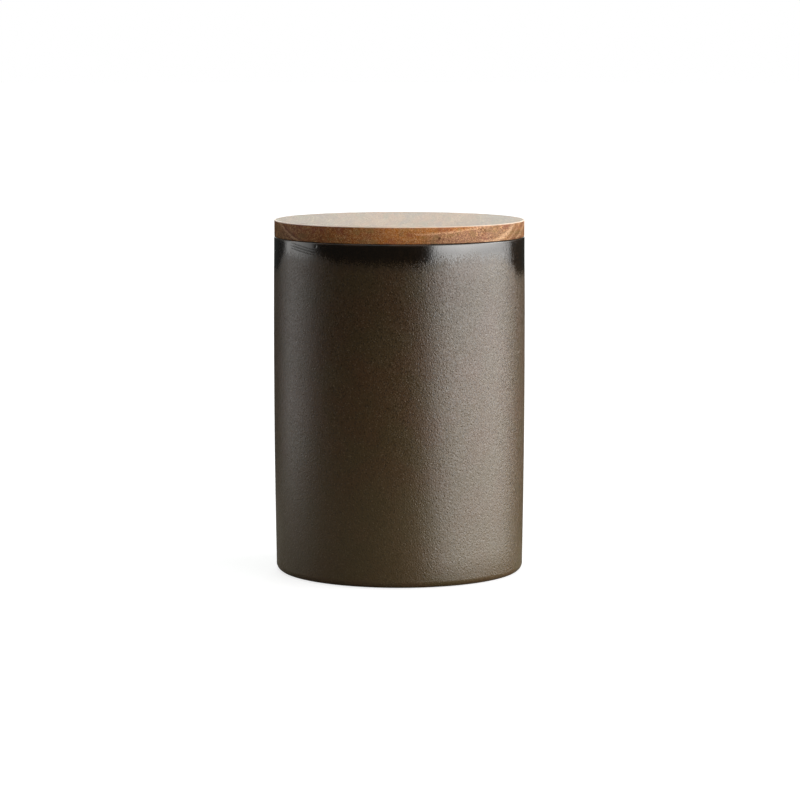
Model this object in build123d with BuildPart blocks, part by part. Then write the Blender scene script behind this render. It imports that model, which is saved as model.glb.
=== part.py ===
from build123d import *
import os

# Lidded stoneware storage jar with a flat hardwood lid and a silicone seal.
# Millimetres, +Z up. The origin is the centre of the foot ring, on the surface
# the jar stands on, and the jar's axis is Z.

# ---------------------------------------------------------------- dimensions
# stoneware body, outside
body_height = 187.5          # foot to rim, where the lid rests
rim_radius = 69.85           # outside radius just under the rounded lip
base_radius = 69.2           # outside radius just above the bottom corner
belly_extra = 0.70           # how far the wall swells past a straight line
corner_radius = 3.8          # rounded bottom corner
lip_outer_radius = 1.0       # rounding of the rim, outside
lip_inner_radius = 1.9       # rounding of the rim, inside

# foot ring under the base
foot_outer_radius = base_radius - corner_radius
foot_inner_radius = 59.0
foot_recess = 1.6            # how far the base is hollowed inside the ring

# stoneware body, inside
mouth_radius = 63.5          # bore of the mouth, where the seal presses
mouth_depth = 24.0           # true bore below the rim
inner_belly_radius = 63.9    # bore at mid height
inner_base_radius = 62.6     # bore just above the inside corner
floor_height = 8.2           # inside floor above the surface it stands on
inner_corner_radius = 9.0    # inside corner between wall and floor

# hardwood lid disc
lid_thickness = 9.2
lid_radius = 69.70
lid_top_edge = 0.45          # small rounding of the upper arris
lid_bottom_edge = 0.30       # small rounding of the lower arris

# hardwood plug glued under the lid disc
plug_radius = 60.8
plug_depth = 12.0
plug_edge = 1.2              # rounding of its lower arris

# groove turned in the plug for the seal
groove_floor_radius = 58.8
groove_top = 2.4             # below the underside of the disc
groove_height = 7.2

# silicone seal: a band with three thin fins
seal_play = 0.05             # radial running clearance on the groove floor
seal_side_play = 0.10        # clearance at each side of the groove
seal_band = 2.6              # thickness of the band
fin_reach_radius = 63.30     # tips of the fins, just clear of the mouth
fin_root = 1.15              # fin thickness where it leaves the band
fin_tip = 0.70               # fin thickness at its tip
fin_rise = 0.45              # how much the tip stands above the root
fin_count = 3

# ------------------------------------------------------------ derived levels
rim_z = body_height
disc_top_z = rim_z + lid_thickness
plug_bottom_z = rim_z - plug_depth
groove_top_z = rim_z - groove_top
groove_bottom_z = groove_top_z - groove_height
belly_z = (corner_radius + rim_z) / 2 + 6.0

os.makedirs("parts", exist_ok=True)

# ----------------------------------------------------------------- jar body
# One wall profile turned about the axis: foot ring, corner, barrel side,
# rounded lip, bore, inside corner, floor.
lip_top_outer = rim_radius - 0.02 - lip_outer_radius
side_top_z = rim_z - lip_outer_radius
with BuildPart() as jar_body:
    with BuildSketch(Plane.XZ) as jar_profile:
        with BuildLine() as jar_line:
            # hollow under the base, then the foot ring
            Line((0, foot_recess), (foot_inner_radius - 1.6, foot_recess))
            Line((foot_inner_radius - 1.6, foot_recess), (foot_inner_radius, 0))
            Line((foot_inner_radius, 0), (foot_outer_radius, 0))
            # rounded bottom corner
            RadiusArc(
                (foot_outer_radius, 0),
                (base_radius, corner_radius),
                -corner_radius,
            )
            # slightly swelling side
            mid_radius = (base_radius + rim_radius) / 2 + belly_extra
            ThreePointArc(
                (base_radius, corner_radius),
                (mid_radius, belly_z),
                (rim_radius - 0.02, side_top_z),
            )
            # lip
            RadiusArc(
                (rim_radius - 0.02, side_top_z),
                (lip_top_outer, rim_z),
                -lip_outer_radius,
            )
            Line((lip_top_outer, rim_z), (mouth_radius + lip_inner_radius, rim_z))
            RadiusArc(
                (mouth_radius + lip_inner_radius, rim_z),
                (mouth_radius, rim_z - lip_inner_radius),
                -lip_inner_radius,
            )
            # true bore of the mouth, then the wall below it
            Line(
                (mouth_radius, rim_z - lip_inner_radius),
                (mouth_radius, rim_z - mouth_depth),
            )
            ThreePointArc(
                (mouth_radius, rim_z - mouth_depth),
                (inner_belly_radius, belly_z),
                (inner_base_radius, floor_height + inner_corner_radius),
            )
            RadiusArc(
                (inner_base_radius, floor_height + inner_corner_radius),
                (inner_base_radius - inner_corner_radius, floor_height),
                inner_corner_radius,
            )
            Line(
                (inner_base_radius - inner_corner_radius, floor_height),
                (0, floor_height),
            )
            Line((0, floor_height), (0, foot_recess))
        make_face()
    revolve(axis=Axis.Z)
jar_body.part.label = "jar_body"
export_step(jar_body.part, "parts/jar_body.step")

# ----------------------------------------------------------------- lid disc
with BuildPart() as lid_disc:
    with BuildSketch(Plane.XY.offset(rim_z)):
        Circle(lid_radius)
    extrude(amount=lid_thickness)
    fillet(
        lid_disc.edges().filter_by(GeomType.CIRCLE).sort_by(Axis.Z)[-1],
        radius=lid_top_edge,
    )
    fillet(
        lid_disc.edges().filter_by(GeomType.CIRCLE).sort_by(Axis.Z)[0],
        radius=lid_bottom_edge,
    )
lid_disc.part.label = "lid_disc"
export_step(lid_disc.part, "parts/lid_disc.step")

# ----------------------------------------------------------------- lid plug
with BuildPart() as lid_plug:
    with BuildSketch(Plane.XY.offset(plug_bottom_z)):
        Circle(plug_radius)
    extrude(amount=plug_depth)
    fillet(
        lid_plug.edges().filter_by(GeomType.CIRCLE).sort_by(Axis.Z)[0],
        radius=plug_edge,
    )
    # groove for the seal
    with BuildSketch(Plane.XY.offset(groove_bottom_z)):
        Circle(plug_radius + 1.0)
        Circle(groove_floor_radius, mode=Mode.SUBTRACT)
    extrude(amount=groove_height, mode=Mode.SUBTRACT)
lid_plug.part.label = "lid_plug"
export_step(lid_plug.part, "parts/lid_plug.step")

# ---------------------------------------------------------------- seal ring
seal_inner = groove_floor_radius + seal_play
seal_outer = seal_inner + seal_band
seal_bottom = groove_bottom_z + seal_side_play
seal_top = groove_top_z - seal_side_play
seal_height = seal_top - seal_bottom
fin_pitch = seal_height / fin_count
with BuildPart() as seal_ring:
    with BuildSketch(Plane.XZ) as band_profile:
        with BuildLine():
            Polyline(
                (seal_inner, seal_bottom),
                (seal_outer, seal_bottom),
                (seal_outer, seal_top),
                (seal_inner, seal_top),
                close=True,
            )
        make_face()
        # fins: wedges that rise a little towards the tip
        for i in range(fin_count):
            root_z = seal_bottom + (i + 0.5) * fin_pitch - 0.2
            tip_z = root_z + fin_rise
            with BuildLine():
                Polyline(
                    (seal_outer - 0.4, root_z - fin_root / 2),
                    (fin_reach_radius, tip_z - fin_tip / 2),
                    (fin_reach_radius, tip_z + fin_tip / 2),
                    (seal_outer - 0.4, root_z + fin_root / 2),
                    close=True,
                )
            make_face()
    revolve(axis=Axis.Z)
seal_ring.part.label = "seal_ring"
export_step(seal_ring.part, "parts/seal_ring.step")

# ------------------------------------------------------------------- report
for name, piece in (
    ("jar_body", jar_body),
    ("lid_disc", lid_disc),
    ("lid_plug", lid_plug),
    ("seal_ring", seal_ring),
):
    size = piece.part.bounding_box().size
    print(
        name,
        "volume", round(piece.part.volume, 1),
        "size", round(size.X, 2), round(size.Y, 2), round(size.Z, 2),
    )
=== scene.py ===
import math

import bpy
import bmesh
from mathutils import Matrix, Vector, noise as mnoise


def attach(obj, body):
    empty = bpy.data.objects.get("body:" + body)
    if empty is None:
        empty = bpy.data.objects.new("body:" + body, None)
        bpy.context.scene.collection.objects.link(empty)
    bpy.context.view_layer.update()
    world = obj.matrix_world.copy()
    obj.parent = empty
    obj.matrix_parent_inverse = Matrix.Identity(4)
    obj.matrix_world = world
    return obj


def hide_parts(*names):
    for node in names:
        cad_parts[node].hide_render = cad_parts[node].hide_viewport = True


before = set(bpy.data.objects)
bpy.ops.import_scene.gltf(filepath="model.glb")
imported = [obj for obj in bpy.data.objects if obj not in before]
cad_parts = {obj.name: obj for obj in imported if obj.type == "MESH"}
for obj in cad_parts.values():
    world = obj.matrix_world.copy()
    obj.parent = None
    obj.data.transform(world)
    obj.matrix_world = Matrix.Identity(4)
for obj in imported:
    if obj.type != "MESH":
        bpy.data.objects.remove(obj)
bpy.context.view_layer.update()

MM = 0.001


# ======================================================================
# camera: low, long lens, at the photograph's viewing angle
# ======================================================================
def make_camera():
    cam_data = bpy.data.cameras.new("camera")
    cam_data.sensor_width = 36.0
    cam_data.lens = 142.43
    cam_data.clip_start, cam_data.clip_end = 0.05, 60.0
    cam = bpy.data.objects.new("camera", cam_data)
    bpy.context.scene.collection.objects.link(cam)
    elevation = math.radians(6.72)
    distance = 1.776
    centre = Vector((0.0, 0.0, 0.0984))
    back = Vector((0.0, -math.cos(elevation), math.sin(elevation)))
    up = Vector((0.0, math.sin(elevation), math.cos(elevation)))
    cam.location = centre + back * distance
    aim = centre + Vector((0.36 * MM, 0, 0)) - up * 3.18 * MM
    cam.rotation_mode = "QUATERNION"
    cam.rotation_quaternion = (aim - cam.location).to_track_quat("-Z", "Y")
    bpy.context.scene.camera = cam


make_camera()


# ======================================================================
# node helpers
# ======================================================================
class Graph:
    """A node tree with short names for the nodes used here."""

    def __init__(self, tree):
        self.t = tree
        self.t.nodes.clear()

    def new(self, kind, **props):
        n = self.t.nodes.new(kind)
        for k, v in props.items():
            setattr(n, k, v)
        return n

    def put(self, socket, value):
        if value is None:
            return
        if isinstance(value, bpy.types.NodeSocket):
            self.t.links.new(value, socket)
        elif isinstance(value, (tuple, list)) and len(value) == 3 and socket.type == "RGBA":
            socket.default_value = (*value, 1.0)
        else:
            socket.default_value = value

    def math(self, op, a, b=None, c=None, clamp=False):
        n = self.new("ShaderNodeMath", operation=op, use_clamp=clamp)
        self.put(n.inputs[0], a)
        self.put(n.inputs[1], b)
        self.put(n.inputs[2], c)
        return n.outputs[0]

    def add(self, a, b): return self.math("ADD", a, b)
    def sub(self, a, b): return self.math("SUBTRACT", a, b)
    def mul(self, a, b): return self.math("MULTIPLY", a, b)
    def div(self, a, b): return self.math("DIVIDE", a, b)
    def mad(self, a, b, c): return self.math("MULTIPLY_ADD", a, b, c)
    def mini(self, a, b): return self.math("MINIMUM", a, b)
    def maxi(self, a, b): return self.math("MAXIMUM", a, b)

    def step(self, x, lo, hi, out_lo=0.0, out_hi=1.0):
        """Smooth step of x from lo to hi, where lo may be the larger."""
        n = self.new("ShaderNodeMapRange", interpolation_type="SMOOTHSTEP")
        self.put(n.inputs["Value"], x)
        if isinstance(lo, (int, float)) and isinstance(hi, (int, float)) and lo > hi:
            lo, hi, out_lo, out_hi = hi, lo, out_hi, out_lo
        self.put(n.inputs["From Min"], lo)
        self.put(n.inputs["From Max"], hi)
        self.put(n.inputs["To Min"], out_lo)
        self.put(n.inputs["To Max"], out_hi)
        return n.outputs[0]

    def remap(self, x, lo, hi, out_lo=0.0, out_hi=1.0, clamp=True):
        n = self.new("ShaderNodeMapRange", interpolation_type="LINEAR", clamp=clamp)
        for name, v in (("Value", x), ("From Min", lo), ("From Max", hi), ("To Min", out_lo), ("To Max", out_hi)):
            self.put(n.inputs[name], v)
        return n.outputs[0]

    def xyz(self, v):
        n = self.new("ShaderNodeSeparateXYZ")
        self.put(n.inputs[0], v)
        return n.outputs[0], n.outputs[1], n.outputs[2]

    def vec(self, x, y, z):
        n = self.new("ShaderNodeCombineXYZ")
        for s, v in zip(n.inputs, (x, y, z)):
            self.put(s, v)
        return n.outputs[0]

    def vmath(self, op, a, b=None, scale=None):
        n = self.new("ShaderNodeVectorMath", operation=op)
        self.put(n.inputs[0], a)
        self.put(n.inputs[1], b)
        if scale is not None:
            self.put(n.inputs["Scale"], scale)
        return n.outputs["Value"] if op in ("LENGTH", "DOT_PRODUCT") else n.outputs["Vector"]

    def noise(self, v, scale, detail=2.0, rough=0.5, distort=0.0, dims="3D", w=None, kind="FBM", lac=2.0):
        n = self.new("ShaderNodeTexNoise", noise_dimensions=dims, noise_type=kind)
        n.normalize = True
        if dims != "1D":
            self.put(n.inputs["Vector"], v)
        if w is not None:
            self.put(n.inputs["W"], w)
        self.put(n.inputs["Scale"], scale)
        self.put(n.inputs["Detail"], detail)
        self.put(n.inputs["Roughness"], rough)
        self.put(n.inputs["Lacunarity"], lac)
        self.put(n.inputs["Distortion"], distort)
        return n.outputs["Fac"]

    def voronoi(self, v, scale, feature="F1", rand=1.0, dims="3D", out="Distance", smooth=None):
        n = self.new("ShaderNodeTexVoronoi", feature=feature, voronoi_dimensions=dims)
        self.put(n.inputs["Vector"], v)
        self.put(n.inputs["Scale"], scale)
        self.put(n.inputs["Randomness"], rand)
        if smooth is not None and "Smoothness" in n.inputs:
            self.put(n.inputs["Smoothness"], smooth)
        return n.outputs[out]

    def mix(self, f, a, b, blend="MIX"):
        n = self.new("ShaderNodeMix", data_type="RGBA", blend_type=blend, clamp_factor=True)
        self.put(n.inputs[0], f)
        self.put(n.inputs[6], a)
        self.put(n.inputs[7], b)
        return n.outputs[2]

    def lerp(self, f, a, b):
        n = self.new("ShaderNodeMix", data_type="FLOAT", clamp_factor=True)
        self.put(n.inputs[0], f)
        self.put(n.inputs[2], a)
        self.put(n.inputs[3], b)
        return n.outputs[0]

    def ramp(self, x, stops, mode="LINEAR"):
        n = self.new("ShaderNodeValToRGB")
        n.color_ramp.interpolation = mode
        e = n.color_ramp.elements
        while len(e) < len(stops):
            e.new(0.5)
        for k, (pos, colour) in zip(e, stops):
            k.position = pos
            k.color = (*colour, 1.0)
        self.put(n.inputs[0], x)
        return n.outputs[0]

    def bump(self, height, distance, strength=1.0, normal=None):
        n = self.new("ShaderNodeBump")
        self.put(n.inputs["Strength"], strength)
        self.put(n.inputs["Distance"], distance)
        self.put(n.inputs["Height"], height)
        if normal is not None:
            self.put(n.inputs["Normal"], normal)
        return n.outputs[0]

    def here(self):
        """Place on the piece in millimetres, in the row frame."""
        tc = self.new("ShaderNodeTexCoord")
        return self.vmath("SCALE", tc.outputs["Object"], scale=1000.0)

    def principled(self, **sockets):
        b = self.new("ShaderNodeBsdfPrincipled")
        for k, v in sockets.items():
            self.put(b.inputs[k.replace("_", " ")], v)
        out = self.new("ShaderNodeOutputMaterial")
        self.t.links.new(b.outputs[0], out.inputs[0])
        return b


def material(name):
    m = bpy.data.materials.new(name)
    m.use_nodes = True
    return m, Graph(m.node_tree)


# ======================================================================
# glaze
# ======================================================================
RIM_Z = 187.5      # rim of the jar, where the lid rests
TOP_Z = 196.7      # top of the lid
PLUG_Z = 175.5     # underside of the plug


def glaze_material():
    m, g = material("olive_brown_glaze")
    p = g.here()
    x, y, z = g.xyz(p)
    radius = g.vmath("LENGTH", g.vec(x, y, 0.0))
    # bearing round the jar: 0 at the front, positive to the right
    bearing = g.math("ARCTAN2", x, g.mul(y, -1.0))

    # -- fine structure, a little longer down the wall than round it
    grain_at = g.vec(x, y, g.mul(z, 0.72))
    peel_a = g.noise(grain_at, 0.62, 2.0, 0.55)
    peel_b = g.noise(grain_at, 1.45, 1.0, 0.55)
    salt = g.noise(grain_at, 1.25, 1.0, 0.5, kind="FBM")
    pepper = g.noise(g.vec(x, g.add(y, 300.0), g.mul(z, 0.72)), 1.25, 1.0, 0.5)
    streak = g.noise(g.vec(x, y, g.mul(z, 0.07)), 0.50, 2.0, 0.55)
    cloud = g.noise(p, 0.032, 3.0, 0.6)
    warm = g.noise(p, 0.055, 3.0, 0.6)
    fleck = g.voronoi(g.vec(x, y, g.mul(z, 0.8)), 0.30, rand=1.0)
    dust = g.noise(g.vec(g.add(x, 500.0), y, g.mul(z, 0.60)), 1.9, 1.0, 0.5)
    # single raised grains and pits between calmer glaze
    grain = g.step(g.voronoi(g.vec(x, g.add(y, 150.0), g.mul(z, 0.85)), 0.80, rand=1.0), 0.46, 0.10)
    pit = g.step(g.voronoi(g.vec(g.add(x, 250.0), y, g.mul(z, 0.85)), 0.62, rand=1.0), 0.36, 0.08)

    # -- where the second, glossier coat ends: it thins out in fine grains and short runs under the rim
    slow = g.noise(p, 0.024, 2.0, 0.55)
    runs = g.noise(g.vec(x, y, g.mul(z, 0.10)), 0.11, 2.0, 0.5)
    fray = g.noise(g.vec(x, y, g.mul(z, 0.45)), 0.55, 3.0, 0.65)
    long_run = g.step(g.math("ABSOLUTE", g.sub(bearing, 1.36)), 0.40, 0.12)
    thin_a = g.step(g.math("ABSOLUTE", g.sub(bearing, 0.62)), 0.46, 0.24)
    thin_b = g.step(g.math("ABSOLUTE", g.add(bearing, 0.88)), 0.40, 0.20)
    left_run = g.step(g.math("ABSOLUTE", g.add(bearing, 1.48)), 0.36, 0.16)
    depth = g.add(
        g.mad(slow, 4.0, 9.4),
        g.add(g.mad(runs, 3.0, -1.5), g.mul(long_run, 8.6)),
    )
    depth = g.sub(depth, g.add(g.mul(thin_a, 3.4), g.mul(thin_b, 3.2)))
    depth = g.add(depth, g.mul(left_run, 5.5))
    edge = g.sub(RIM_Z, depth)
    above = g.add(g.sub(z, edge), g.mul(g.sub(fray, 0.5), 3.5))
    above = g.add(above, g.mul(g.sub(streak, 0.5), 5.0))
    above = g.add(above, g.mul(g.sub(dust, 0.5), g.mad(g.step(bearing, -0.30, 0.15), 6.0, 7.0)))
    band = g.step(above, -5.5, 4.5)
    # the inside is all under the glossy coat
    inside = g.step(radius, 66.6, 65.6)
    deep_inside = g.mul(inside, g.step(z, 3.0, 6.0))
    coat = g.maxi(band, deep_inside)

    olive = (0.0600, 0.0355, 0.0105)
    umber = (0.0665, 0.0320, 0.0100)
    body = g.mix(g.step(warm, 0.34, 0.66), olive, umber)
    body = g.mix(g.mul(g.step(cloud, 0.50, 0.76), 0.25), body, (0.084, 0.056, 0.023))
    body = g.mix(g.mul(g.step(salt, 0.55, 0.74), 0.30), body, (0.120, 0.083, 0.043))
    body = g.mix(g.mul(g.step(pepper, 0.45, 0.27), 0.40), body, (0.018, 0.011, 0.006))
    # loose pale grains and pinholes
    crumb = g.voronoi(g.vec(g.add(x, 700.0), y, g.mul(z, 0.9)), 0.62, rand=1.0)
    hole = g.voronoi(g.vec(x, g.add(y, 700.0), g.mul(z, 0.9)), 0.66, rand=1.0)
    body = g.mix(g.mul(g.step(crumb, 0.27, 0.13), 0.40), body, (0.200, 0.150, 0.095))
    body = g.mix(g.mul(g.step(hole, 0.29, 0.14), 0.72), body, (0.012, 0.008, 0.005))
    body = g.mix(g.mul(g.step(fleck, 0.20, 0.08), 0.5), body, (0.014, 0.008, 0.005))
    # just under the glossy coat the satin glaze is darker and more olive
    body = g.mix(g.mul(g.step(z, 95.0, 176.0), 0.34), body, (0.020, 0.0145, 0.0065))
    # and towards the foot it is lighter
    body = g.mix(g.mul(g.step(z, 120.0, 8.0), 0.45), body, (0.082, 0.060, 0.024))

    # on the right-hand side the glaze is a little coarser, with more grains and pinholes
    side = g.mul(g.step(bearing, 0.82, 1.06), g.step(bearing, 1.90, 1.45))
    crumb_b = g.voronoi(g.vec(g.add(x, 900.0), y, g.mul(z, 0.9)), 0.66, rand=1.0)
    hole_b = g.voronoi(g.vec(x, g.add(y, 900.0), g.mul(z, 0.9)), 0.70, rand=1.0)
    body = g.mix(g.mul(g.step(crumb_b, 0.31, 0.14), g.mul(side, 0.46)), body, (0.185, 0.132, 0.082))
    body = g.mix(g.mul(g.step(hole_b, 0.33, 0.16), g.mul(side, 0.72)), body, (0.013, 0.009, 0.005))

    speckle = g.mul(g.step(bearing, 0.52, 0.86), g.step(bearing, 2.10, 1.50))
    speckle = g.mul(speckle, g.step(z, 6.0, 70.0))
    body = g.mix(g.mul(speckle, g.mul(g.step(salt, 0.44, 0.66), 0.30)), body, (0.205, 0.168, 0.125))

    # -- thin glaze breaks redder over the convex edges
    corner = g.mul(g.step(z, 5.0, 0.8), g.step(radius, 64.0, 66.5))
    lip = g.mul(g.step(z, RIM_Z - 1.7, RIM_Z - 0.3), g.step(radius, 63.0, 65.0))
    lip_break = g.mul(lip, g.mad(g.step(bearing, 0.0, 0.4), -0.42, 0.50))
    break_mask = g.mul(g.maxi(g.mul(corner, 0.34), lip_break), g.step(warm, 0.34, 0.60))
    gloss_black = g.mix(g.step(fray, 0.35, 0.75), (0.0075, 0.0048, 0.0024), (0.0125, 0.0072, 0.0034))
    colour = g.mix(coat, body, gloss_black)
    # the inside is poured, so it is thinner and browner down the wall than under the rim
    down = g.mul(deep_inside, g.step(z, 176.0, 120.0))
    colour = g.mix(g.mul(down, g.mad(g.step(cloud, 0.35, 0.70), 0.25, 0.50)), colour, (0.046, 0.027, 0.012))
    coat_side = g.mul(side, g.step(bearing, 1.40, 1.04))
    colour = g.mix(g.mul(g.mul(coat, coat_side), g.mul(g.step(salt, 0.50, 0.68), 0.55)), colour, (0.050, 0.030, 0.016))
    colour = g.mix(break_mask, colour, (0.105, 0.050, 0.023))

    # -- bare stoneware under the foot
    bare_line = g.add(66.62, g.mul(g.sub(runs, 0.5), 1.2))
    bare = g.mul(g.step(radius, g.add(bare_line, 0.25), g.sub(bare_line, 0.25)), g.step(z, 2.6, 1.9))
    bare_under = g.mul(g.step(z, 2.6, 2.0), g.step(radius, 66.5, 66.0))
    bare = g.maxi(bare, bare_under)
    grog = g.noise(p, 1.6, 3.0, 0.7)
    clay = g.mix(g.step(grog, 0.3, 0.7), (0.30, 0.215, 0.140), (0.42, 0.315, 0.215))
    clay = g.mix(g.mul(g.step(g.voronoi(p, 0.55), 0.18, 0.06), 0.7), clay, (0.10, 0.06, 0.035))
    toast = g.mul(g.step(radius, 63.5, 66.5), 0.55)
    clay = g.mix(toast, clay, (0.20, 0.105, 0.055))
    colour = g.mix(bare, colour, clay)

    # -- gloss
    rough_body = g.add(0.400, g.add(g.mul(g.sub(cloud, 0.5), 0.06), g.mul(g.sub(pepper, 0.5), 0.50)))
    rough_coat = g.add(0.165, g.add(g.mul(g.sub(fray, 0.5), 0.06), g.mul(g.sub(cloud, 0.5), 0.04)))
    # the coat lies thinner and duller on the far side of the jar
    behind = g.step(g.math("ABSOLUTE", bearing), 1.56, 1.95)
    rough_coat = g.mad(behind, 0.17, rough_coat)
    rough = g.lerp(g.step(coat, 0.25, 1.0), rough_body, rough_coat)
    rough = g.lerp(lip, rough, 0.28)
    rough = g.lerp(bare, rough, 0.86)

    # -- relief: orange peel over the satin coat, gentler under the glossy one
    peel = g.add(g.mul(peel_a, 0.12), g.mul(peel_b, 0.20))
    peel = g.add(peel, g.sub(g.mul(grain, 0.125), g.mul(pit, 0.17)))
    coarse_coat = g.mul(g.step(bearing, 0.70, 1.00), g.step(bearing, 1.36, 1.00))
    right_part = g.mad(coarse_coat, 0.20, g.mul(g.step(bearing, 0.2, 0.7), g.mad(g.step(bearing, 1.08, 1.30), -0.18, 0.26)))
    peel_size = g.lerp(coat, 1.0, g.add(0.24, right_part))
    swell = g.noise(g.vec(x, y, g.mul(z, 0.35)), 0.16, 2.0, 0.5)
    height = g.add(g.mul(peel, peel_size), g.mul(swell, 0.28))
    coarse = g.sub(g.step(crumb_b, 0.40, 0.10), g.step(hole_b, 0.42, 0.12))
    height = g.add(height, g.mul(g.mul(coarse, g.mad(g.mul(side, g.lerp(coat, 1.0, g.mul(g.step(bearing, 1.36, 1.00), 0.55))), 0.16, g.mad(g.step(bearing, 0.40, 0.62), 0.04, 0.02))), peel_size))
    # three faint slanting strokes and one burst bubble in the glossy coat, left of the middle
    s = g.mul(bearing, 69.8)
    slant = g.add(z, g.mul(g.add(s, 61.0), 0.147))
    stroke = g.maxi(
        g.step(g.math("ABSOLUTE", g.sub(slant, 183.5)), 0.50, 0.08),
        g.maxi(
            g.mul(g.step(g.math("ABSOLUTE", g.sub(slant, 182.1)), 0.46, 0.08), 0.9),
            g.mul(g.step(g.math("ABSOLUTE", g.sub(slant, 184.9)), 0.42, 0.06), 0.7),
        ),
    )
    stroke = g.mul(stroke, g.mul(g.step(s, -73.0, -66.0), g.step(s, -49.5, -54.0)))
    height = g.add(height, g.mul(stroke, g.mul(coat, 0.85)))
    bubble = g.vmath("LENGTH", g.vec(g.add(s, 49.3), 0.0, g.sub(z, 185.2)))
    height = g.sub(height, g.mul(g.step(bubble, 1.25, 0.30), 0.60))
    height = g.add(height, g.mul(g.mul(grog, bare), 0.6))
    normal = g.bump(height, 0.00030, 1.0)

    # the glossy coat is thickest just under the lip on the right and thins out downwards
    thick = g.lerp(
        g.step(bearing, -0.30, 0.20), g.mad(g.step(bearing, -1.05, -0.82), 0.32, 0.26),
        g.mul(g.remap(z, RIM_Z - 5.5, RIM_Z - 1.3, 0.02, 0.42), g.step(bearing, 1.00, 0.72)),
    )
    right_only = g.mul(g.step(bearing, 0.20, 0.45), g.step(bearing, 1.12, 0.86))
    thick = g.add(thick, g.mul(right_only, g.mul(g.step(z, RIM_Z - 3.5, RIM_Z - 8.5), 0.16)))
    veil = g.mul(right_only, g.mul(g.step(above, -13.0, -3.0), 0.60))
    thick = g.mul(thick, g.mad(stroke, -0.75, 1.0))
    g.principled(
        Base_Color=colour, Roughness=rough, Normal=normal, IOR=1.52,
        Coat_Weight=g.mul(g.mul(g.maxi(coat, veil), thick), g.sub(1.0, bare)), Coat_Roughness=0.16, Coat_IOR=1.50,
    )
    return m


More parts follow.
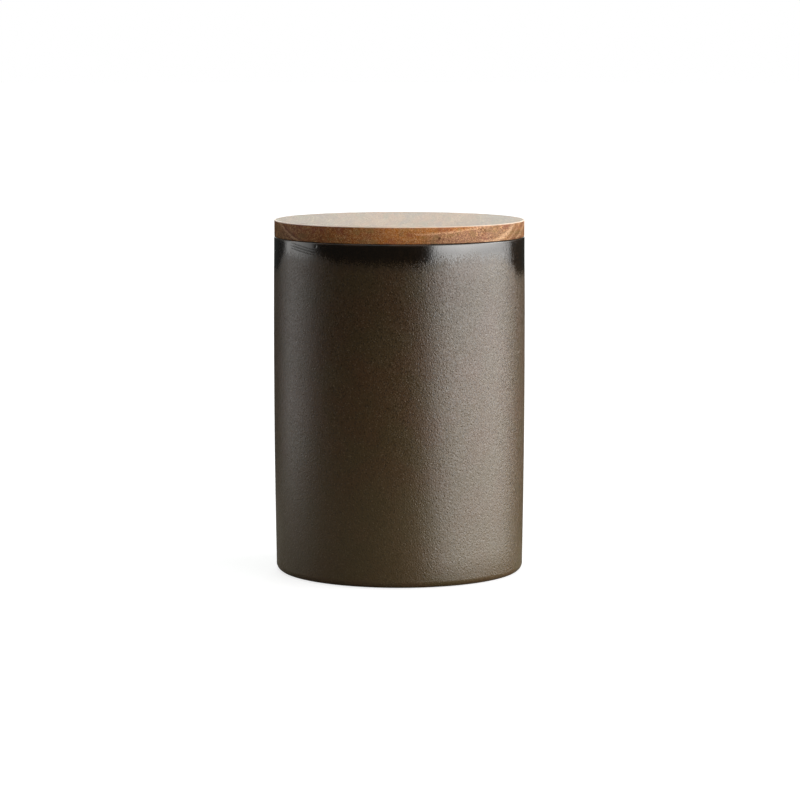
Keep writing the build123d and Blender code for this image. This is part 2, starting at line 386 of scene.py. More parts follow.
# ======================================================================
# wood
# ======================================================================
def wood_material(name, pith_x, pith_z, seed, turn=False, lines=(), knots=(), zones=()):
    """A board cut beside the pith, grain along Y (along X when turned). lines are ring lines as
    (centre x, centre z, radius, half width, strength, dark rim, lowest x, highest x), knots dark spots as
    (x, z, size), and zones places outside a ring as (centre x, centre z, radius, lowest x, highest x,
    colour, amount)."""
    m, g = material(name)
    p = g.here()
    x, y, z = g.xyz(p)
    if turn:
        x, y = y, x
    # slow wander of the grain along the board
    along = g.add(y, 69.0)
    wander = g.noise(g.vec(g.mul(x, 0.4), g.add(y, seed * 31.0), z), 0.012, 2.0, 0.5)
    start = g.noise(g.vec(g.mul(x, 0.4), -69.0 + seed * 31.0, z), 0.012, 2.0, 0.5)
    gx = g.add(x, g.mul(g.sub(wander, start), 16.0))
    gz = g.add(z, g.mul(along, 0.035))
    wobble = g.noise(g.vec(gx, g.mul(y, 0.10), gz), 0.060, 2.0, 0.5)
    dx = g.sub(gx, pith_x)
    dz = g.sub(gz, pith_z)
    ring_r = g.vmath("LENGTH", g.vec(dx, 0.0, dz))
    ring_w = g.add(ring_r, g.mul(g.sub(wobble, 0.5), 2.2))

    # cross-section texture: fine pale flecks and dark vessels, drawn out along the grain
    cell = g.vec(gx, g.mul(y, 0.030), gz)
    fleck_a = g.noise(cell, 0.95, 2.0, 0.55, distort=0.4)
    fleck_b = g.noise(g.vec(gx, g.mul(y, 0.045), g.add(gz, 90.0)), 1.9, 2.0, 0.55)
    patch = g.noise(g.vec(gx, g.mul(y, 0.07), gz), 0.10, 2.0, 0.55)
    patch_b = g.noise(g.vec(g.add(gx, 70.0), g.mul(y, 0.07), gz), 0.055, 2.0, 0.55)
    fibre = g.noise(g.vec(gx, g.mul(y, 0.020), gz), 2.6, 3.0, 0.62)
    band = g.noise(None, 0.21, 3.0, 0.60, dims="1D", w=g.add(ring_w, seed * 13.0))

    # the flat faces, apart from the end grain round the rim
    face = g.maxi(g.step(z, TOP_Z - 0.20, TOP_Z - 0.03), g.step(z, PLUG_Z + 0.6, PLUG_Z + 0.1))

    # colour of the board across its width: umber at the left, golden in the middle, rosy at the right; the rosy part
    # is partly the wood's own tone and partly a painted sheen of the light falling on that side
    umber = (0.205, 0.078, 0.029)
    golden = (0.330, 0.112, 0.024)
    rosy_tone_and_sheen = (0.226, 0.120, 0.078)
    across = g.add(gx, g.mul(g.sub(patch_b, 0.5), 26.0))
    base = g.mix(g.step(across, -56.0, -14.0), umber, golden)
    base = g.mix(g.step(across, 30.0, 58.0) if zones else g.step(across, 14.0, 42.0), base, rosy_tone_and_sheen)
    for cx, cz, radius, x_lo, x_hi, tone, amount in zones:
        out = g.sub(g.vmath("LENGTH", g.vec(g.sub(x, cx), 0.0, g.sub(z, cz))), radius)
        out = g.add(out, g.mul(g.sub(wobble, 0.5), 1.6))
        inside = g.mul(g.step(x, x_lo - 4.0, x_lo + 4.0), g.step(x, x_hi + 4.0, x_hi - 4.0))
        base = g.mix(g.mul(g.mul(g.step(out, -0.5, 0.9), inside), amount), base, tone)
    base = g.mix(g.mul(g.step(patch, 0.46, 0.70), 0.55), base, (0.175, 0.068, 0.026))
    base = g.mix(g.mul(g.step(patch_b, 0.52, 0.72), 0.40), base, (0.230, 0.135, 0.055))
    base = g.mix(g.mul(g.step(band, 0.54, 0.68), 0.30), base, (0.150, 0.056, 0.024))
    base = g.mix(g.mul(g.step(band, 0.44, 0.32), 0.25), base, (0.430, 0.215, 0.090))

    # flecks
    calm = g.lerp(face, 1.0, 0.62)
    cork = g.mul(g.lerp(g.mul(g.step(gx, 12.0, 34.0), g.step(gx, 54.0, 46.0)), 1.0, 1.35), calm)
    base = g.mix(g.mul(g.step(fleck_a, 0.54, 0.70), g.mul(calm, 0.62)), base, (0.450, 0.235, 0.095))
    base = g.mix(g.mul(g.step(fleck_a, 0.44, 0.30), g.mul(calm, 0.70)), base, (0.100, 0.038, 0.016))
    base = g.mix(g.mul(g.mul(g.step(fleck_b, 0.54, 0.68), 0.42), cork), base, (0.620, 0.380, 0.200))
    base = g.mix(g.mul(g.mul(g.step(fleck_b, 0.45, 0.32), 0.60), cork), base, (0.080, 0.030, 0.013))
    # loose bright grains, thickest left of the middle
    spark_d = g.voronoi(g.vec(g.add(gx, 35.0), g.mul(y, 0.030), gz), 0.80, rand=1.0)
    spark = g.mul(g.step(spark_d, 0.26, 0.12), g.mul(g.step(patch_b, 0.40, 0.58), g.step(face, 0.6, 0.1)))
    base = g.mix(g.mul(spark, 0.50), base, (0.700, 0.430, 0.190))
    base = g.mix(g.mul(g.step(fibre, 0.42, 0.26), 0.22), base, (0.120, 0.045, 0.018))

    # pale worm-like strands between the vessels, most of them left of the middle
    worm_n = g.noise(cell, 0.62, 1.0, 0.5, distort=0.8)
    worm = g.step(g.math("ABSOLUTE", g.sub(worm_n, 0.5)), 0.040, 0.008)
    worm = g.mul(worm, g.mul(g.step(patch, 0.36, 0.56), g.step(gx, 34.0, -8.0)))
    base = g.mix(g.mul(worm, 0.42), base, (0.480, 0.255, 0.130))
    # olive and wine-red patches in the end grain
    hue = g.noise(g.vec(g.add(gx, 400.0), g.mul(y, 0.05), g.mul(gz, 1.6)), 0.17, 2.0, 0.5)
    base = g.mix(g.mul(g.step(hue, 0.55, 0.68), 0.42), base, (0.165, 0.110, 0.040))
    base = g.mix(g.mul(g.step(hue, 0.46, 0.32), 0.42), base, (0.185, 0.052, 0.034))

    # vessels: tubes along the grain. Dots on the end grain, short lines on the face
    pore_d = g.voronoi(g.vec(gx, g.mul(y, 0.022), gz), 0.62, rand=1.0)
    pore = g.mul(g.step(pore_d, 0.20, 0.10), g.lerp(face, 1.0, 0.45))
    halo = g.mul(g.step(pore_d, 0.36, 0.22), g.step(pore_d, 0.15, 0.22))
    base = g.mix(g.mul(halo, 0.35), base, (0.480, 0.280, 0.140))
    base = g.mix(g.mul(pore, 0.75), base, (0.055, 0.020, 0.009))

    # the few clear ring lines
    end = g.lerp(face, 1.0, 0.22)
    for cx, cz, radius, half, strength, dark, x_lo, x_hi in lines:
        off = g.sub(g.vmath("LENGTH", g.vec(g.sub(x, cx), 0.0, g.sub(z, cz))), radius)
        off = g.add(off, g.mul(g.sub(wobble, 0.5), 1.0))
        reach = g.mul(g.step(x, x_lo - 3.0, x_lo + 2.0), g.step(x, x_hi + 3.0, x_hi - 2.0))
        reach = g.mul(g.mul(reach, end), g.step(fleck_b, 0.30, 0.62))
        near = g.step(g.math("ABSOLUTE", off), half * 1.8, half * 0.4)
        base = g.mix(g.mul(g.mul(near, reach), strength), base, (0.560, 0.350, 0.205))
        if dark:
            rim = g.step(g.math("ABSOLUTE", g.add(off, half * 1.9)), half * 1.3, half * 0.3)
            base = g.mix(g.mul(g.mul(rim, reach), dark), base, (0.060, 0.024, 0.012))
    for kx, kz, size in knots:
        d = g.vmath("LENGTH", g.vec(g.sub(gx, kx), g.mul(g.sub(y, -69.0), 0.12), g.sub(gz, kz)))
        base = g.mix(g.mul(g.step(d, size, size * 0.35), 0.80), base, (0.060, 0.020, 0.008))

    # the board is lighter left of the middle and darker towards its right edge
    gain = g.mul(g.lerp(g.step(x, -60.0, -48.0), 0.98, 1.14), g.lerp(g.step(x, -34.0, -10.0), 1.0, 1.16))
    gain = g.mul(gain, g.mul(g.lerp(g.step(x, -4.0, 12.0), 0.97, 0.87), g.lerp(g.step(x, 38.0, 58.0), 1.0, 0.87)))
    gain = g.mul(gain, g.mul(g.lerp(g.step(x, 14.0, 24.0), 1.0, 1.09), g.lerp(g.step(x, 57.0, 63.0), 1.0, 0.71)))
    gain = g.lerp(face, gain, 1.04)
    # and the end grain is a little darker towards its lower edge and lighter towards its top
    gain = g.mul(gain, g.lerp(face, g.remap(z, RIM_Z, TOP_Z, 0.86, 1.14), 1.0))
    base = g.vmath("SCALE", base, scale=gain)

    # the faces are painted paler and greyer than the end grain: partly a lighter face grain, partly a painted sheen of
    # the light they reflect at a low view; the upper arris is painted pale: partly wear, partly a painted highlight
    drift = g.noise(g.vec(g.add(gx, 200.0), g.mul(y, 0.05), gz), 0.12, 2.0, 0.55)
    pale = g.mix(g.step(drift, 0.40, 0.60), (0.200, 0.190, 0.128), (0.218, 0.180, 0.130))
    base = g.mix(g.mul(face, 0.36), base, pale)
    radial = g.vmath("LENGTH", g.vec(x, y, 0.0))
    # the arris colour is partly wear and partly a painted highlight of the light the edge catches, brighter at the
    # left
    arris = g.mul(g.step(radial, 68.75, 69.05), g.step(z, TOP_Z - 0.56, TOP_Z - 0.38))
    arris_wear_and_highlight_left = g.step(x, -22.0, -44.0)
    arris_wear_and_highlight_tone = g.mix(arris_wear_and_highlight_left, (0.780, 0.630, 0.510), (0.900, 0.740, 0.640))
    base = g.mix(g.mul(arris, g.mad(arris_wear_and_highlight_left, 0.18, 0.70)), base, arris_wear_and_highlight_tone)

    rough = g.add(0.50, g.add(g.mul(g.sub(fibre, 0.5), 0.10), g.mul(pore, 0.15)))
    rough = g.sub(rough, g.mul(face, 0.06))
    height = g.sub(g.mul(fibre, 0.30), g.add(g.mul(pore, 0.9), g.mul(g.step(fleck_a, 0.44, 0.30), 0.3)))
    height = g.mul(height, g.lerp(face, 1.0, 0.40))
    normal = g.bump(height, 0.00010, 0.9)
    g.principled(Base_Color=base, Roughness=rough, Normal=normal, IOR=1.46, Specular_IOR_Level=0.06)
    return m


# ======================================================================
# silicone
# ======================================================================
def silicone_material():
    m, g = material("translucent_silicone")
    p = g.here()
    haze = g.noise(p, 0.10, 3.0, 0.6)
    dust = g.voronoi(p, 0.7)
    colour = g.mix(g.step(haze, 0.3, 0.7), (0.70, 0.70, 0.665), (0.80, 0.80, 0.775))
    colour = g.mix(g.mul(g.step(dust, 0.10, 0.04), 0.35), colour, (0.45, 0.43, 0.40))
    rough = g.add(0.36, g.mul(g.sub(g.noise(p, 0.6, 3.0, 0.6), 0.5), 0.16))
    normal = g.bump(g.noise(p, 2.2, 2.0, 0.5), 0.00003, 0.6)
    g.principled(
        Base_Color=colour, Roughness=rough, Normal=normal, IOR=1.41,
        Subsurface_Weight=0.45, Subsurface_Radius=(1.0, 1.0, 1.0), Subsurface_Scale=0.0016,
    )
    return m


# ======================================================================
# turned pieces
# ======================================================================
def line(a, b, n):
    return [(a[0] + (b[0] - a[0]) * i / n, a[1] + (b[1] - a[1]) * i / n) for i in range(n)]


def arc(centre, radius, start, end, n):
    """Points on a circle, angles in degrees from +r towards +z, without the last."""
    out = []
    for i in range(n):
        t = math.radians(start + (end - start) * i / n)
        out.append((centre[0] + radius * math.cos(t), centre[1] + radius * math.sin(t)))
    return out


def circle_through(a, b, c):
    (ax, ay), (bx, by), (cx, cy) = a, b, c
    d = 2 * (ax * (by - cy) + bx * (cy - ay) + cx * (ay - by))
    ux = ((ax**2 + ay**2) * (by - cy) + (bx**2 + by**2) * (cy - ay) + (cx**2 + cy**2) * (ay - by)) / d
    uy = ((ax**2 + ay**2) * (cx - bx) + (bx**2 + by**2) * (ax - cx) + (cx**2 + cy**2) * (bx - ax)) / d
    return (ux, uy), math.hypot(ax - ux, ay - uy)


def bow(a, b, c, n):
    """Points on the arc from a through b to c, without the last."""
    (cx, cy), r = circle_through(a, b, c)
    t0 = math.degrees(math.atan2(a[1] - cy, a[0] - cx))
    t1 = math.degrees(math.atan2(c[1] - cy, c[0] - cx))
    if t1 - t0 > 180:
        t1 -= 360
    if t1 - t0 < -180:
        t1 += 360
    return arc((cx, cy), r, t0, t1, n)


def turned(name, sections, segments, uv, nudge=None):
    """A closed turned solid. sections is [(tag, [(r, z), ...]), ...] in millimetres, in order along one
    profile that starts and ends on the axis or closes on itself. uv maps a tag to a function of
    (share round, share along the section, r) that gives a place on the piece's map."""
    points, face_tags, along = [], [], []
    for tag, pts in sections:
        for i, q in enumerate(pts):
            points.append(q)
            face_tags.append(tag)
            along.append((i, len(pts)))
    closed = points[0][0] > 1e-6
    bm = bmesh.new()
    rings = []
    for i, (r, z) in enumerate(points):
        if r < 1e-6:
            rings.append([bm.verts.new((0.0, 0.0, z * MM))])
            continue
        ring = []
        for j in range(segments):
            t = 2 * math.pi * j / segments
            rr, zz = r, z
            if nudge is not None:
                rr, zz = nudge(r, z, t, face_tags[i])
            ring.append(bm.verts.new((rr * math.sin(t) * MM, -rr * math.cos(t) * MM, zz * MM)))
        rings.append(ring)
    layer = bm.loops.layers.uv.new("OFBake")
    total = len(points)
    last = total if closed else total - 1
    # arclength share within each section
    for i in range(last):
        a, b = rings[i], rings[(i + 1) % total]
        tag = face_tags[i]
        k, n = along[i]
        s0, s1 = k / n, (k + 1) / n
        r0, r1 = points[i][0], points[(i + 1) % total][0]
        for j in range(segments):
            j2 = (j + 1) % segments
            if len(a) == 1 and len(b) == 1:
                continue
            if len(a) == 1:
                f = bm.faces.new((a[0], b[j], b[j2]))
                where = [((j + 0.5) / segments, s0, r0), (j / segments, s1, r1), ((j + 1) / segments, s1, r1)]
            elif len(b) == 1:
                f = bm.faces.new((a[j], b[0], a[j2]))
                where = [(j / segments, s0, r0), ((j + 0.5) / segments, s1, r1), ((j + 1) / segments, s0, r0)]
            else:
                f = bm.faces.new((a[j], b[j], b[j2], a[j2]))
                where = [(j / segments, s0, r0), (j / segments, s1, r1), ((j + 1) / segments, s1, r1), ((j + 1) / segments, s0, r0)]
            f.smooth = True
            for loop, (around, s, rr) in zip(f.loops, where):
                loop[layer].uv = uv[tag](around, s, rr, j / segments)
    bmesh.ops.recalc_face_normals(bm, faces=bm.faces)
    mesh = bpy.data.meshes.new(name)
    bm.to_mesh(mesh)
    bm.free()
    obj = bpy.data.objects.new(name, mesh)
    bpy.context.scene.collection.objects.link(obj)
    return obj


def strip(v0, v1):
    """The wall unrolled into one band of the map."""
    return lambda around, s, r, first: (0.004 + 0.992 * around, v0 + (v1 - v0) * s)


def strips(v0, v1, count, gap=0.006):
    """The wall unrolled into several bands, one above the other."""
    pitch = (v1 - v0) / count

    def at(around, s, r, first):
        k = min(count - 1, int(first * count + 1e-6))
        u = (around * count) - k
        return (0.004 + 0.992 * u, v0 + k * pitch + gap / 2 + (pitch - gap) * s)

    return at


def disc(cx, cy, size, r_max):
    """A face seen square on."""

    def at(around, s, r, first):
        t = 2 * math.pi * around
        return (cx + size * r / r_max * math.sin(t), cy - size * r / r_max * math.cos(t))

    return at


def smooth(x, lo, hi):
    t = max(0.0, min(1.0, (x - lo) / (hi - lo)))
    return t * t * (3 - 2 * t)


# ------------------------------------------------------------ the jar
def make_jar():
    top_of_side = RIM_Z - 1.0
    side_c, side_r = circle_through((69.2, 3.8), (70.225, 101.65), (69.83, top_of_side))
    side_start = math.degrees(math.atan2(3.8 - side_c[1], 69.2 - side_c[0]))
    side_end = math.degrees(math.atan2(top_of_side - side_c[1], 69.83 - side_c[0]))
    base = [(0.0, 1.6)] + line((4.0, 1.6), (56.4, 1.6), 12)
    base += arc((56.4, 0.6), 1.0, 90.0, 35.0, 5)
    base += line((57.25, 1.15), (58.3, 0.25), 4)
    base += arc((59.0, 0.75), 0.75, 215.0, 270.0, 5)
    base += line((59.2, 0.0), (65.0, 0.0), 10)
    base += line((65.0, 0.0), (65.35, 0.0), 2)
    # the corner: bare clay first, then the rolled edge of the glaze
    corner = []
    n = 40
    for i in range(n):
        a = -90.0 + 90.0 * i / n
        dip = 0.16 * (1.0 - smooth(a, -68.5, -65.5)) * smooth(a, -89.0, -84.0)
        bead = 0.05 * math.exp(-((a + 64.0) / 3.2) ** 2)
        q = 3.8 - dip + bead
        corner.append((65.4 + q * math.cos(math.radians(a)), 3.8 + q * math.sin(math.radians(a))))
    side = arc(side_c, side_r, side_start, side_end, 120)
    lip_out = arc((68.83, top_of_side), 1.0, 0.0, 90.0, 12)
    top = line((68.83, RIM_Z), (65.4, RIM_Z), 8)
    lip_in = arc((65.4, RIM_Z - 1.9), 1.9, 90.0, 180.0, 14)
    bore = line((63.5, RIM_Z - 1.9), (63.5, RIM_Z - 24.0), 16)
    inner = bow((63.5, RIM_Z - 24.0), (63.9, 101.65), (62.6, 17.2), 60)
    corner_in = arc((53.6, 17.2), 9.0, 0.0, -90.0, 20)
    floor = line((53.6, 8.2), (1.5, 8.2), 16) + [(0.0, 8.2)]

    def nudge(r, z, t, tag):
        """Hand-finished unevenness, always inwards on the outside, never past the CAD wall."""
        if tag in ("outer",):
            fade = smooth(z, 0.6, 9.0) * (1.0 - smooth(z, 179.0, 186.5) * 0.85)
            q = Vector((math.sin(t) * 1.15, -math.cos(t) * 1.15, z / 62.0))
            w = mnoise.noise(q * 1.35)
            w2 = mnoise.noise(Vector((math.sin(t) * 4.2, -math.cos(t) * 4.2, z / 21.0)) + Vector((7.1, 3.3, 9.7)))
            turning = 0.010 * math.sin(z / 3.9 + 0.6 * math.sin(t))
            return r - fade * (0.045 + 0.035 * w + 0.010 * w2 + 0.6 * turning), z
        if tag == "inner":
            w = mnoise.noise(Vector((math.sin(t) * 1.4, -math.cos(t) * 1.4, z / 40.0)) + Vector((2.0, 8.0, 1.0)))
            turning = 0.05 * math.sin(z / 4.6 + 0.8 * math.sin(t))
            fade = smooth(z, 10.0, 24.0) * (1.0 - smooth(z, 150.0, 164.0))
            return r + fade * (0.10 + 0.07 * w + turning), z
        return r, z

    uv = {
        "base": disc(0.175, 0.165, 0.160, 65.4),
        "outer": strip(0.545, 0.992),
        "lip": strip(0.500, 0.540),
        "inner": strip(0.335, 0.495),
        "floor": disc(0.510, 0.165, 0.150, 62.7),
    }
    sections = [
        ("base", base),
        ("outer", corner + side),
        ("lip", lip_out + top + lip_in),
        ("inner", bore + inner),
        ("floor", corner_in + floor),
    ]
    jar = turned("stoneware_jar", sections, 288, uv, nudge)
    jar.data.materials.append(glaze_material())
    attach(jar, "jar")
    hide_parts("jar_body")
    return jar


# ------------------------------------------------------------ the lid
def make_lid_disc(wood):
    top_z, low_z, r = TOP_Z, RIM_Z, 69.70
    sections = [
        ("under", [(0.0, low_z)] + line((3.0, low_z), (69.1, low_z), 22) + line((69.1, low_z), (69.40, low_z), 2)),
        ("rim",
         arc((69.40, low_z + 0.30), 0.30, -90.0, 0.0, 7)
         + line((r, low_z + 0.30), (r, low_z + 0.6), 2)
         + line((r, low_z + 0.6), (r, top_z - 0.75), 14)
         + line((r, top_z - 0.75), (r, top_z - 0.45), 2)
         + arc((69.25, top_z - 0.45), 0.45, 0.0, 90.0, 10)),
        ("face", line((69.25, top_z), (68.95, top_z), 2) + line((68.95, top_z), (3.0, top_z), 24) + [(0.0, top_z)]),
    ]

    def nudge(r0, z, t, tag):
        if tag == "rim":
            w = mnoise.noise(Vector((math.sin(t) * 3.0, -math.cos(t) * 3.0, 0.4)))
            return r0 - 0.008 * (1.0 + w), z
        if tag == "face":
            w = mnoise.noise(Vector((r0 * math.sin(t) / 30.0, -r0 * math.cos(t) / 60.0, 2.2)))
            return r0, z - 0.02 * (1.0 + w)
        return r0, z

    uv = {
        "face": disc(0.252, 0.748, 0.244, 69.70),
        "under": disc(0.748, 0.748, 0.244, 69.70),
        "rim": strips(0.02, 0.49, 4),
    }
    lid = turned("lid_disc_wood", sections, 288, uv, nudge)
    lid.data.materials.append(wood)
    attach(lid, "lid")
    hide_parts("lid_disc")
    return lid


def make_lid_plug(wood):
    low, high = PLUG_Z, RIM_Z
    r, floor_r = 60.8, 58.8
    g_top, g_low = RIM_Z - 2.4, RIM_Z - 9.6
    sections = [
        ("under", [(0.0, low)] + line((3.0, low), (59.3, low), 20) + line((59.3, low), (59.6, low), 2)),
        ("side",
         arc((59.6, low + 1.2), 1.2, -90.0, 0.0, 12)
         + line((r, low + 1.2), (r, g_low - 0.12), 4)
         + arc((r - 0.12, g_low - 0.12), 0.12, 0.0, 90.0, 4)
         + line((r - 0.12, g_low), (floor_r + 0.15, g_low), 5)
         + arc((floor_r + 0.15, g_low + 0.15), 0.15, 270.0, 180.0, 4)
         + line((floor_r, g_low + 0.15), (floor_r, g_top - 0.15), 8)
         + arc((floor_r + 0.15, g_top - 0.15), 0.15, 180.0, 90.0, 4)
         + line((floor_r + 0.15, g_top), (r - 0.12, g_top), 5)
         + arc((r - 0.12, g_top + 0.12), 0.12, 270.0, 360.0, 4)
         + line((r, g_top + 0.12), (r, high), 4)),
        ("top", line((r, high), (3.0, high), 12) + [(0.0, high)]),
    ]
    uv = {
        "under": disc(0.275, 0.72, 0.265, 60.8),
        "top": disc(0.775, 0.72, 0.20, 60.8),
        "side": strips(0.02, 0.44, 3),
    }
    plug = turned("lid_plug_wood", sections, 240, uv)
    plug.data.materials.append(wood)
    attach(plug, "lid")
    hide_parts("lid_plug")
    return plug


# ------------------------------------------------------------ the seal
def make_seal(rubber):
    inner, outer = 58.85, 61.45
    low, high = RIM_Z - 9.5, RIM_Z - 2.5
    tip_r = 63.30
    pitch = (high - low) / 3
    side = []
    z = low
    side += arc((inner + 0.25, low + 0.25), 0.25, 180.0, 270.0, 4)
    side += line((inner + 0.25, low), (outer - 0.25, low), 5)
    side += arc((outer - 0.25, low + 0.25), 0.25, -90.0, 0.0, 4)
    for i in range(3):
        root = low + (i + 0.5) * pitch - 0.2
        tip = root + 0.45
        a, b = (outer, root - 0.50), (outer, root + 0.50)
        # a small fillet at the root, a rounded tip
        side += line((outer, (side[-1][1] + a[1] - 0.18) / 2 if i else low + 0.3), (outer, a[1] - 0.14), 2)
        side += bow((outer, a[1] - 0.14), (outer + 0.05, a[1] - 0.045), (outer + 0.14, a[1] + 0.025), 3)
        side += line((outer + 0.14, a[1] + 0.025), (tip_r - 0.34, tip - 0.36), 5)
        side += bow((tip_r - 0.34, tip - 0.36), (tip_r, tip), (tip_r - 0.34, tip + 0.34), 8)
        side += line((tip_r - 0.34, tip + 0.34), (outer + 0.14, b[1] + 0.045), 5)
        side += bow((outer + 0.14, b[1] + 0.045), (outer + 0.045, b[1] + 0.075), (outer, b[1] + 0.15), 3)
    side += line((outer, side[-1][1] + 0.03), (outer, high - 0.26), 2)
    side += arc((outer - 0.25, high - 0.25), 0.25, 0.0, 90.0, 4)
    side += line((outer - 0.25, high), (inner + 0.25, high), 5)
    side += arc((inner + 0.25, high - 0.25), 0.25, 90.0, 180.0, 4)
    side += line((inner, high - 0.25), (inner, low + 0.25), 8)
    uv = {"all": strips(0.01, 0.99, 4)}
    ring = turned("silicone_seal", [("all", side)], 240, uv)
    ring.data.materials.append(rubber)
    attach(ring, "seal")
    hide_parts("seal_ring")
    return ring


jar = make_jar()
lid_wood = wood_material(
    "acacia_board", 9.2, 262.0, 1.0,
    lines=(
        (8.4, 394.0, 201.3, 0.50, 0.55, 0.0, 9.0, 49.0),
        (48.5, 203.0, 15.55, 0.95, 0.95, 0.0, 46.0, 65.0),
        (48.5, 203.0, 18.75, 0.50, 0.50, 0.0, 50.0, 69.9),
        (48.5, 203.0, 21.90, 0.55, 0.70, 0.2, 56.0, 69.9),
        (-42.6, 214.4, 29.5, 0.55, 0.65, 0.45, -68.0, -54.0),
    ),
    knots=((21.8, 190.6, 1.3),),
    zones=(
        # the first zone's rosy tone is partly the wood's own and partly a painted sheen
        (8.4, 394.0, 201.3, 16.0, 56.0, (0.238, 0.125, 0.082), 0.85),
        (48.5, 203.0, 16.2, 52.0, 72.0, (0.290, 0.130, 0.050), 0.80),
        (-42.6, 214.4, 29.5, -74.0, -56.0, (0.150, 0.076, 0.032), 0.70),
    ),
)
plug_wood = wood_material(
    "acacia_plug", -22.0, 120.0, 4.0, turn=True,
    lines=((-22.0, 120.0, 66.0, 0.5, 0.45, 0.3, -70.0, 70.0), (-22.0, 120.0, 78.0, 0.6, 0.40, 0.4, -70.0, 70.0)),
)
make_lid_disc(lid_wood)
make_lid_plug(plug_wood)
make_seal(silicone_material())


# ======================================================================
# stage: pale floor and soft studio light
# ======================================================================
def round_plane(name, radii, z, segments=96):
    bm = bmesh.new()
    rings = [[bm.verts.new((0.0, 0.0, z))]]
    for r in radii:
        rings.append([
            bm.verts.new((r * math.cos(2 * math.pi * j / segments), r * math.sin(2 * math.pi * j / segments), z))
            for j in range(segments)
        ])
    for a, b in zip(rings, rings[1:]):
        for j in range(segments):
            k = (j + 1) % segments
            if len(a) == 1:
                bm.faces.new((a[0], b[j], b[k]))
            else:
                bm.faces.new((a[j], b[j], b[k], a[k]))
    mesh = bpy.data.meshes.new(name)
    bm.to_mesh(mesh)
    bm.free()
    obj = bpy.data.objects.new(name, mesh)
    bpy.context.scene.collection.objects.link(obj)
    return obj


def wing_plane(name, r0, r1, az0, az1, z, across=26, out=8):
    """A flat sector of the table, azimuths in degrees from the front, positive to the right."""
    bm = bmesh.new()
    rows = []
    for i in range(out + 1):
        r = r0 + (r1 - r0) * i / out
        row = []
        for j in range(across + 1):
            a = math.radians(az0 + (az1 - az0) * j / across)
            row.append(bm.verts.new((r * math.sin(a), -r * math.cos(a), z)))
        rows.append(row)
    for a, b in zip(rows, rows[1:]):
        for j in range(across):
            bm.faces.new((a[j], b[j], b[j + 1], a[j + 1]))
    bmesh.ops.recalc_face_normals(bm, faces=bm.faces)
    mesh = bpy.data.meshes.new(name)
    bm.to_mesh(mesh)
    bm.free()
    obj = bpy.data.objects.new(name, mesh)
    bpy.context.scene.collection.objects.link(obj)
    return obj


def make_floor():
    floor = round_plane("floor", [0.1, 0.2, 0.4, 0.8, 1.6, 4.0, 14.0], 0.0)
    m, g = material("pale_floor")
    b = g.principled(
        Base_Color=(0.40, 0.40, 0.40), Roughness=0.9,
        Emission_Color=(1.0, 1.0, 1.0), Emission_Strength=0.74,
    )
    b.inputs["Specular IOR Level"].default_value = 0.0
    floor.data.materials.append(m)
    floor.visible_glossy = False
    floor.visible_diffuse = False
    floor.visible_transmission = False

    # what the glaze and the wood see of the table: a dark top of limited size
    table = round_plane("table", [0.07, 0.10, 0.13], -0.0006)
    wing = wing_plane("table_front", 0.13, 0.90, -84.0, 20.0, -0.0006)
    side = wing_plane("table_left", 0.13, 0.42, -152.0, -84.0, -0.0006)
    m, g = material("dark_table")
    far = g.div(g.vmath("LENGTH", g.here()), 1000.0)
    tone = g.mix(g.step(far, 0.16, 0.80), (0.370, 0.345, 0.305), (0.040, 0.037, 0.032))
    b = g.principled(Base_Color=tone, Roughness=0.9)
    b.inputs["Specular IOR Level"].default_value = 0.0
    for top in (table, wing, side):
        top.data.materials.append(m)
        top.visible_camera = False


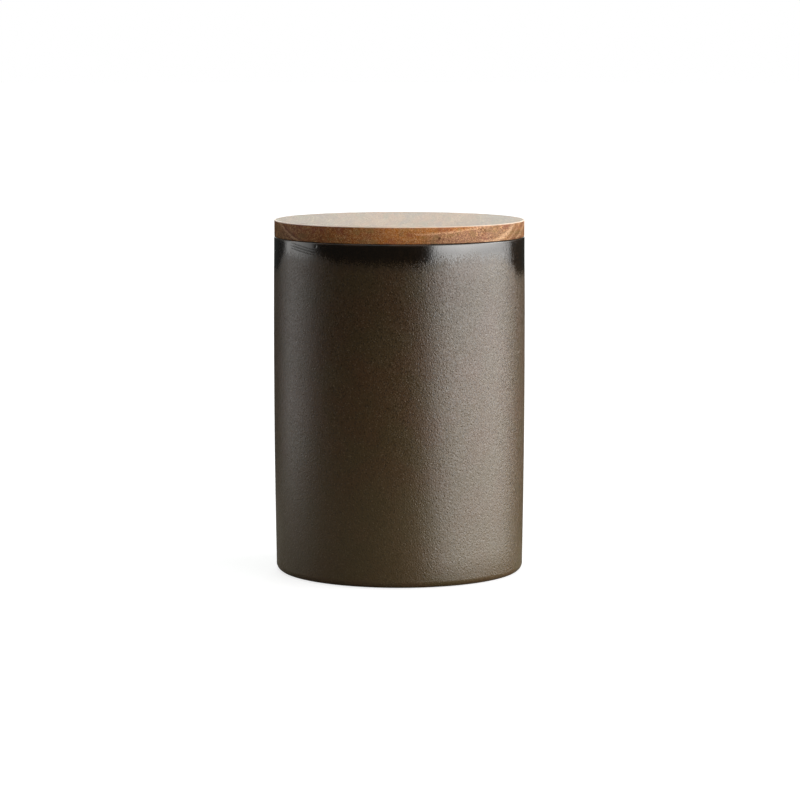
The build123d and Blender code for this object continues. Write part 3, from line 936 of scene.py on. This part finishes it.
def make_light():
    """The studio as a world: a tall soft box to the right, a dimmer one to the left, a panel behind and
    above, and dark elsewhere."""
    world = bpy.data.worlds.new("studio")
    bpy.context.scene.world = world
    world.use_nodes = True
    g = Graph(world.node_tree)
    tc = g.new("ShaderNodeTexCoord")
    x, y, z = g.xyz(tc.outputs["Generated"])
    az = g.mul(g.math("ARCTAN2", x, g.mul(y, -1.0)), 180.0 / math.pi)
    el = g.mul(g.math("ARCSINE", z), 180.0 / math.pi)
    across = g.math("ABSOLUTE", az)

    roof = g.mul(g.step(el, 35.0, 22.0), g.step(el, -16.0, -10.0))
    right = g.mul(g.mul(g.step(az, 27.0, 35.0), g.step(az, 125.0, 114.0)), roof)
    right_level = g.mini(g.mad(az, 0.113, 2.45), g.mad(az, -0.10, 15.2))
    # the box is brighter towards its far top corner
    high = g.step(el, 2.0, 14.0)
    right_level = g.add(right_level, g.mul(high, g.mad(g.step(az, 62.0, 104.0), 6.0, -1.0)))
    # and dimmer at its near top corner
    right_level = g.sub(right_level, g.mul(g.mul(g.step(az, 82.0, 58.0), g.step(el, 4.0, 15.0)), 3.2))
    right_level = g.mul(right_level, g.lerp(g.mul(g.step(az, 40.0, 56.0), g.step(az, 104.0, 86.0)), 1.08, 1.00))
    left = g.mul(g.mul(g.step(az, -131.0, -124.0), g.step(az, -82.5, -88.5)), roof)
    left_level = g.mini(g.mad(az, -0.022, -0.88), 1.58)
    back = g.mul(g.step(across, 162.0, 171.0), g.mul(g.step(el, 3.0, 9.0), g.step(el, 75.0, 45.0)))
    back = g.mul(back, g.step(el, 12.0, 30.0, 4.35, 2.20))
    sky = g.step(el, 8.0, 24.0)
    # a soft light overhead
    top = g.step(el, 54.0, 68.0)
    total = g.add(
        g.add(g.mul(right, right_level), g.mul(left, left_level)),
        g.add(g.add(back, g.mul(top, 1.5)), g.mad(sky, 0.20, 0.035)),
    )
    light = g.new("ShaderNodeBackground")
    g.put(light.inputs["Color"], g.mix(g.step(across, 140.0, 152.0), (1.0, 0.992, 0.978), (0.905, 1.0, 0.965)))
    g.put(light.inputs["Strength"], total)
    white = g.new("ShaderNodeBackground")
    g.put(white.inputs["Color"], (1.0, 1.0, 1.0))
    g.put(white.inputs["Strength"], 1.0)
    path = g.new("ShaderNodeLightPath")
    pick = g.new("ShaderNodeMixShader")
    g.put(pick.inputs[0], path.outputs["Is Camera Ray"])
    g.t.links.new(light.outputs[0], pick.inputs[1])
    g.t.links.new(white.outputs[0], pick.inputs[2])
    out = g.new("ShaderNodeOutputWorld")
    g.t.links.new(pick.outputs[0], out.inputs[0])


make_floor()
make_light()

view = bpy.context.scene.view_settings
view.view_transform = "Standard"
view.look = "None"
view.exposure = 0.0
view.gamma = 1.0
